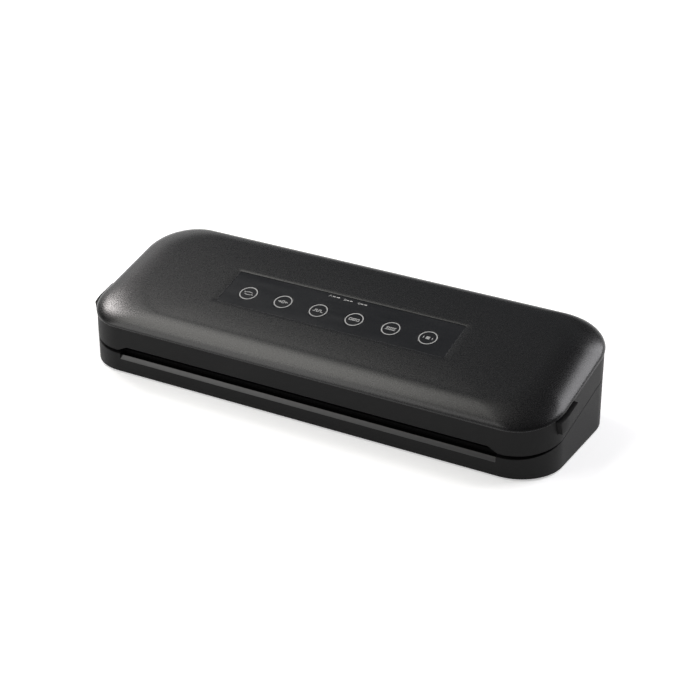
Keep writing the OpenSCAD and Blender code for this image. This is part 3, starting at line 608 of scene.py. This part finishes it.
def build_dome():
    """The lid's outer cover: a shell with a recess for the panel, and a hole for each key and light."""
    recess_floor = -(PANEL_SINK + PANEL_T)
    crown_sag = 0.5 * MM
    inner_steps = 12
    rings = outer_skin(crown_sag, recess_floor)
    inner = [dome_ring(turn, DOME_LIP - WALL, -WALL) for turn in quarter(inner_steps)]
    verts, faces = loft(rings)
    bm = bmesh.new()
    made = [bm.verts.new(v) for v in verts]
    for face in faces:
        bm.faces.new([made[i] for i in face])
    count = len(rings[0])
    last = made[-count:]
    under = [[bm.verts.new(p) for p in ring] for ring in inner[1:]]
    below = made[:count]
    for ring in under:
        for k in range(count):
            k2 = (k + 1) % count
            bm.faces.new([below[k], ring[k], ring[k2], below[k2]])
        below = ring
    holes = [(KEY_X0 + i * KEY_PITCH, KEY_Y, KEY_WELL_R) for i in range(KEYS)]
    holes += [(x, LIGHT_Y, LIGHT_HOLE_R) for x in LIGHTS_X]
    wells = [add_well(bm, *hole, recess_floor) for hole in holes]
    holed_plate(bm, last, [top for top, bottom in wells])
    holed_plate(bm, below, [bottom for top, bottom in wells])
    bmesh.ops.recalc_face_normals(bm, faces=bm.faces)
    mesh = bpy.data.meshes.new("dome")
    bm.to_mesh(mesh)
    bm.free()
    piece = mesh_piece("dome", mesh, MATERIALS["dome"])
    mesh.set_sharp_from_angle(angle=SHARP)
    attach(piece, "lid")
    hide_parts("top_cover")


build_dome()


# ---------- Printing on the panel ----------


def stroke(path, width, low, high, closed=False):
    """Verts and faces of a flat line that follows a path, as a thin solid."""
    points = [Vector(p) for p in path]
    count = len(points)
    rings = []
    for i, point in enumerate(points):
        before = points[i - 1] if closed or i else point
        after = points[(i + 1) % count] if closed or i < count - 1 else point
        first = (point - before).normalized() if point != before else (after - point).normalized()
        second = (after - point).normalized() if point != after else first
        along = (first + second).normalized()
        side = Vector((-along.y, along.x))
        reach = width / 2 / max(0.5, side.dot(Vector((-first.y, first.x))))
        left, right = point + side * reach, point - side * reach
        corners = [(right, low), (left, low), (left, high), (right, high)]
        rings.append([Vector((*spot, height)) for spot, height in corners])
    if closed:
        rings.append(rings[0])
        verts, faces = loft(rings)
        wrap = (len(rings) - 1) * 4
        return verts[:wrap], [tuple(v % wrap for v in f) for f in faces]
    return loft(rings, cap_first=True, cap_last=True)


def arc(radius, start, end, steps, centre=(0, 0), squash=1.0):
    """Points of an arc between two angles in degrees, flattened by squash."""
    points = []
    for k in range(steps + 1):
        turn = math.radians(start + (end - start) * k / steps)
        points.append((centre[0] + radius * math.cos(turn), centre[1] + radius * squash * math.sin(turn)))
    return points


def box_path(length, depth, at=(0, 0)):
    """Corners of a rectangle about a spot."""
    x, y = length / 2, depth / 2
    return [(at[0] - x, at[1] - y), (at[0] + x, at[1] - y), (at[0] + x, at[1] + y), (at[0] - x, at[1] + y)]


# The sizes of the printing are in millimetres
INK_LOW = -0.05
INK_HIGH = 0.025
RING_R = 6.42
RING_LINE = 0.72
ICON_LINE = 0.5
ICON_SIZE = 1.2
MARK_LINE = 0.3
BAR_LINE = 0.9
ICONS = {
    # Two arrows that chase each other
    "key_1": [(arc(2.9, 35, 150, 14, squash=0.42), False), (arc(2.9, 215, 330, 14, squash=0.42), False),
              ([(-3.3, 1.3), (-2.75, 0.45), (-1.75, 0.95)], False),
              ([(3.3, -1.3), (2.75, -0.45), (1.75, -0.95)], False)],
    # Arrows drawing in from both sides of a pouch
    "key_2": [([(-3.3, 0), (-1.5, 0)], False), ([(-2.2, 0.75), (-1.4, 0), (-2.2, -0.75)], False),
              ([(3.3, 0), (1.5, 0)], False), ([(2.2, 0.75), (1.4, 0), (2.2, -0.75)], False),
              (box_path(1.3, 2.1), True)],
    # Square wave
    "key_3": [([(-3.5, -0.85), (-2.3, -0.85), (-2.3, 0.85), (-1.0, 0.85), (-1.0, -0.85), (0.4, -0.85),
                (0.4, 0.85), (1.7, 0.85), (1.7, -0.85), (3.3, -0.85)], False)],
    # Three boxes to choose from
    "key_4": [(box_path(1.55, 1.7, (-2.4, 0)), True), (box_path(1.55, 1.7), True),
              (box_path(1.55, 1.7, (2.4, 0)), True), ([(-0.35, 0), (0.35, 0)], False)],
    # A welded seam
    "key_5": [([(-3.2, 1.0), (3.2, 1.0)], False), ([(-3.2, -1.0), (3.2, -1.0)], False)]
             + [([(x, -0.6), (x + 0.5, 0.6)], False) for x in (-2.7, -1.5, -0.3, 0.9, 2.1)],
    # Halt: a full square between two short bars
    "key_6": [(box_path(1.9, 1.9), True), ([(-0.6, 0), (0.6, 0)], False), ([(-0.6, 0.5), (0.6, 0.5)], False),
              ([(-0.6, -0.5), (0.6, -0.5)], False), ([(-2.9, -0.8), (-2.9, 0.8)], False),
              ([(2.9, -0.8), (2.9, 0.8)], False)],
}


def printed(name, lines, at, body):
    """One printed mark made of flat lines, in millimetres on the crown frame."""
    verts, faces = [], []
    top = -PANEL_SINK / MM
    for path, closed, width in lines:
        more, skin = stroke(path, width, top + INK_LOW, top + INK_HIGH, closed)
        faces += [tuple(v + len(verts) for v in f) for f in skin]
        verts += [ON_CROWN @ (Vector((v.x + at[0], v.y + at[1], v.z)) * MM) for v in more]
    new_piece(name, verts, faces, MATERIALS["print"], body, smooth=False)


def print_panel():
    """The ring and the symbol on each key, and the marks behind the keys."""
    for i in range(KEYS):
        name = f"key_{i + 1}"
        at = ((KEY_X0 + i * KEY_PITCH) / MM, KEY_Y / MM)
        ring = [(arc(RING_R, 0, 360, 72)[:-1], True, RING_LINE)]
        icon = [([(ICON_SIZE * x, ICON_SIZE * y) for x, y in path], closed, ICON_LINE)
                for path, closed in ICONS[name]]
        printed(f"print_{name}", ring + icon, at, name)
    # Three small marks, each with two plain bars
    marks = [([(-18.0, 13.4), (-16.9, 14.9), (-15.8, 13.4)], False, MARK_LINE),
             ([(-15.0, 14.1), (-12.6, 14.1)], False, BAR_LINE),
             ([(-11.8, 14.1), (-9.2, 14.1)], False, BAR_LINE),
             (box_path(1.5, 1.3, (-4.6, 13.5)), True, MARK_LINE),
             ([(-3.2, 13.5), (-1.3, 13.5)], False, BAR_LINE),
             ([(-0.6, 13.5), (1.4, 13.5)], False, BAR_LINE),
             (arc(0.75, 0, 360, 20, (6.9, 13.3))[:-1], True, MARK_LINE),
             ([(8.3, 13.3), (10.3, 13.3)], False, BAR_LINE),
             ([(11.0, 13.3), (13.3, 13.3)], False, BAR_LINE)]
    printed("print_states", marks, (0, 0), "lid")


print_panel()


# ---------- Soft parts ----------


def foam_ring(name, node, low, high, body, slot):
    """A square-section foam ring with its corners rounded over and a slightly uneven face."""
    longest_step, unevenness = 4 * MM, 0.06 * MM
    half = GASKET_W / 2
    length, depth = GASKET_L - GASKET_W, GASKET_D - GASKET_W
    path = round_rect(length, depth, GASKET_R - half, 10)
    fine = []
    for a, b in zip(path, path[1:] + path[:1]):
        span = math.dist(a, b)
        parts = max(1, round(span / longest_step))
        for k in range(parts):
            fine.append((a[0] + (b[0] - a[0]) * k / parts, a[1] + (b[1] - a[1]) * k / parts))
    fine = [p for p, q in zip(fine, fine[1:] + fine[:1]) if math.dist(p, q) > 0.01 * MM]
    section = []
    middle, tall, r = (low + high) / 2, (high - low) / 2, 0.7 * MM
    for q, (sx, sy) in enumerate([(1, 1), (-1, 1), (-1, -1), (1, -1)]):
        for k in range(4):
            turn = math.radians(90 * (q + k / 3))
            u = sx * (half - r) + r * math.cos(turn)
            section.append((u, middle + sy * (tall - r) + r * math.sin(turn)))
    rings = []
    count = len(fine)
    for i, point in enumerate(fine):
        before, after = Vector(fine[i - 1]), Vector(fine[(i + 1) % count])
        along = (after - before).normalized()
        out = Vector((along.y, -along.x))
        give = unevenness * math.sin(i * 2.3) * math.sin(i * 0.37)
        ring = []
        for u, w in section:
            x = point[0] + out.x * (u + give)
            y = point[1] + out.y * (u + give) + TROUGH_V
            ring.append(ON_PARTING @ Vector((x, y, w)))
        rings.append(ring)
    rings.append(rings[0])
    verts, faces = loft(rings)
    wrap = count * len(section)
    faces = [tuple(v % wrap for v in f) for f in faces]
    piece = new_piece(name, verts[:wrap], faces, MATERIALS[slot], body)
    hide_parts(node)


def soft_bar(name, node, size, radius, body, slot):
    """A long soft strip with rounded edges along the seal, in the frame of the parting plane."""
    length, depth, low, high = size
    outline = round_rect(length, depth, min(0.8 * MM, depth / 2.2), 4)
    rings = []
    levels = [(low, radius), (low + 0.3 * radius, 0.3 * radius), (low + radius, 0),
              (high - radius, 0), (high - 0.3 * radius, 0.3 * radius), (high, radius)]
    for height, inset in levels:
        ring = []
        for x, y in outline:
            k = 1 - 2 * inset / length
            m = 1 - 2 * inset / depth
            ring.append(ON_PARTING @ Vector((x * k, y * m + SEAL_V, height)))
        rings.append(ring)
    verts, faces = loft(rings, cap_first=True, cap_last=True)
    piece = new_piece(name, verts, faces, MATERIALS[slot], body, smooth=False)
    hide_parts(node)


def turned(name, node, profile, places, body, slot, sides=40):
    """Rings turned about upright axes, one solid for each place."""
    verts, faces = [], []
    turns = [2 * math.pi * k / sides for k in range(sides)]
    for cx, cy in places:
        rings = [[Vector((cx + r * math.cos(t), cy + r * math.sin(t), z)) for t in turns] for r, z in profile]
        more, skin = loft(rings, cap_first=True, cap_last=True)
        faces += [tuple(v + len(verts) for v in f) for f in skin]
        verts += more
    piece = new_piece(name, verts, faces, MATERIALS[slot], body)
    piece.data.set_sharp_from_angle(angle=math.radians(40))
    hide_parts(node)


foam_ring("foam_lower", "lower_gasket", -GROOVE_H - HALF_GAP + GASKET_PLAY, -GASKET_FACE, "base", "foam")
foam_ring("foam_upper", "upper_gasket", GASKET_FACE, GROOVE_H + HALF_GAP - GASKET_PLAY, "lid", "foam")
soft_bar("press_rubber", "press_strip", PRESS_SIZE, 0.5 * MM, "lid", "press_rubber")
soft_bar("glass_tape", "release_tape", TAPE_SIZE, 0.1 * MM, "base", "tape")
turned("rubber_pads", "rubber_feet", FOOT, FEET_AT, "base", "rubber")


# ---------- Release springs ----------


def coil_spring(name, node, side):
    """The coil spring behind a release pad."""
    turns, steps, sides = 5, 20, 10
    rise = SPRING_L / (turns * 2 * math.pi * SPRING_R)
    rings = []
    for i in range(turns * steps + 1):
        turn = 2 * math.pi * i / steps
        share = i / (turns * steps)
        # The turns lie closer together at both ends
        reach = 0.55 * share + 0.45 * (3 * share ** 2 - 2 * share ** 3)
        out = Vector((0, math.cos(turn), math.sin(turn)))
        middle = Vector((SPRING_X + SPRING_L * reach, 0, 0)) + SPRING_R * out
        along = Vector((rise, -math.sin(turn), math.cos(turn))).normalized()
        across = along.cross(out)
        ring = []
        for k in range(sides):
            a = 2 * math.pi * k / sides
            p = middle + WIRE_R * (math.cos(a) * out + math.sin(a) * across)
            ring.append(ON_PARTING @ Vector((side * p.x, p.y + SPRING_V, p.z + SPRING_W)))
        rings.append(ring)
    verts, faces = loft(rings, cap_first=True, cap_last=True)
    piece = new_piece(name, verts, faces, MATERIALS[SLOT_OF[node]], "lid")
    piece.data.set_sharp_from_angle(angle=math.radians(50))
    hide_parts(node)
    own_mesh(piece)


coil_spring("spring_left", "release_spring_left", -1)
coil_spring("spring_right", "release_spring_right", 1)


# ---------- Stage ----------


def build_floor():
    """White paper that the machine stands on."""
    size = 12.0
    mesh = bpy.data.meshes.new("floor")
    corners = [(-size, -size, 0), (size, -size, 0), (size, size, 0), (-size, size, 0)]
    mesh.from_pydata(corners, [], [(0, 1, 2, 3)])
    material, nodes, links, shader = shader_graph("floor_paper")
    fibre = texture(nodes, links, "noise", 4 * MM, 3.0)
    share = spread(nodes, links, fibre.outputs["Fac"], 0.3, 0.7, 0, 1)
    paper = mixed(nodes, links, share, (0.90, 0.90, 0.90), (0.92, 0.92, 0.92))
    links.new(paper, shader.inputs["Base Color"])
    shader.inputs["Roughness"].default_value = 0.75
    shader.inputs["Specular IOR Level"].default_value = 0.2
    shader.inputs["Emission Color"].default_value = (1, 1, 1, 1)
    # The paper glows a little, and more beyond the reach of the lamps, so that it stays pale to the horizon
    place = nodes.new("ShaderNodeTexCoord")
    away = nodes.new("ShaderNodeVectorMath")
    away.operation = "LENGTH"
    links.new(place.outputs["Object"], away.inputs[0])
    glow = spread(nodes, links, away.outputs["Value"], 0.7, 2.0, 0.45, 1.0)
    links.new(glow, shader.inputs["Emission Strength"])
    mesh.materials.append(material)
    floor = add_to_scene("floor", mesh)


def direction(azimuth, elevation):
    """Unit vector towards an azimuth counted from -Y towards +X, and an elevation, in degrees."""
    a, e = math.radians(azimuth), math.radians(elevation)
    return Vector((math.sin(a) * math.cos(e), -math.cos(a) * math.cos(e), math.sin(e)))


def softbox(name, azimuth, elevation, width, height, radiance, colour=(1, 1, 1), distance=1.6):
    """A rectangular light, its size given by the angles it spans as seen from the machine."""
    wide = 2 * distance * math.tan(math.radians(width / 2))
    high = 2 * distance * math.tan(math.radians(height / 2))
    data = bpy.data.lights.new(name, "AREA")
    data.shape = "RECTANGLE"
    data.size = wide
    data.size_y = high
    data.energy = radiance * math.pi * wide * high
    data.color = colour
    light = add_to_scene(name, data)
    towards = direction(azimuth, elevation)
    light.location = towards * distance
    light.rotation_mode = "QUATERNION"
    light.rotation_quaternion = towards.to_track_quat("Z", "Y")


def build_world():
    """An even white surround, brightest near the horizon and below it."""
    world = bpy.data.worlds.new("studio")
    bpy.context.scene.world = world
    world.use_nodes = True
    nodes, links = world.node_tree.nodes, world.node_tree.links
    background = nodes["Background"]
    place = nodes.new("ShaderNodeTexCoord")
    split = nodes.new("ShaderNodeSeparateXYZ")
    links.new(place.outputs["Generated"], split.inputs["Vector"])
    strength = spread(nodes, links, split.outputs["Z"], 0.05, 0.45, 1.2, 0.05)
    links.new(strength, background.inputs["Strength"])
    background.inputs["Color"].default_value = (1, 1, 1, 1)


def build_camera():
    """The camera stands where the photograph's camera stood, on a long lens."""
    azimuth, elevation, distance = 29.58, 26.93, 1347.6 * MM
    target = Vector((6.8 * MM, 0, 31.2 * MM))
    data = bpy.data.cameras.new("camera")
    data.sensor_width = 36
    data.lens = 97.75
    data.clip_start = 0.05
    data.clip_end = 50
    camera = add_to_scene("camera", data)
    towards = direction(azimuth, elevation)
    camera.location = target + towards * distance
    camera.rotation_mode = "QUATERNION"
    camera.rotation_quaternion = towards.to_track_quat("Z", "Y")
    bpy.context.scene.camera = camera


build_floor()
build_world()
softbox("key", -94, 61, 30, 25, 3.5, (1.0, 0.985, 0.94))
softbox("window", -107, 38, 6.5, 9, 29, (1.0, 0.95, 0.94))
softbox("left_low", -127, 25, 30, 13, 0.9)
softbox("right_back", 139, 42, 29, 40, 5.2, (0.98, 0.97, 1.0))
softbox("front_fill", -45, 42, 32, 40, 2.3, (1.0, 0.99, 0.97))
softbox("back_left", -143, 48, 42, 26, 0.2, (0.9, 0.95, 1.0))
build_camera()
bpy.context.scene.view_settings.view_transform = "Standard"
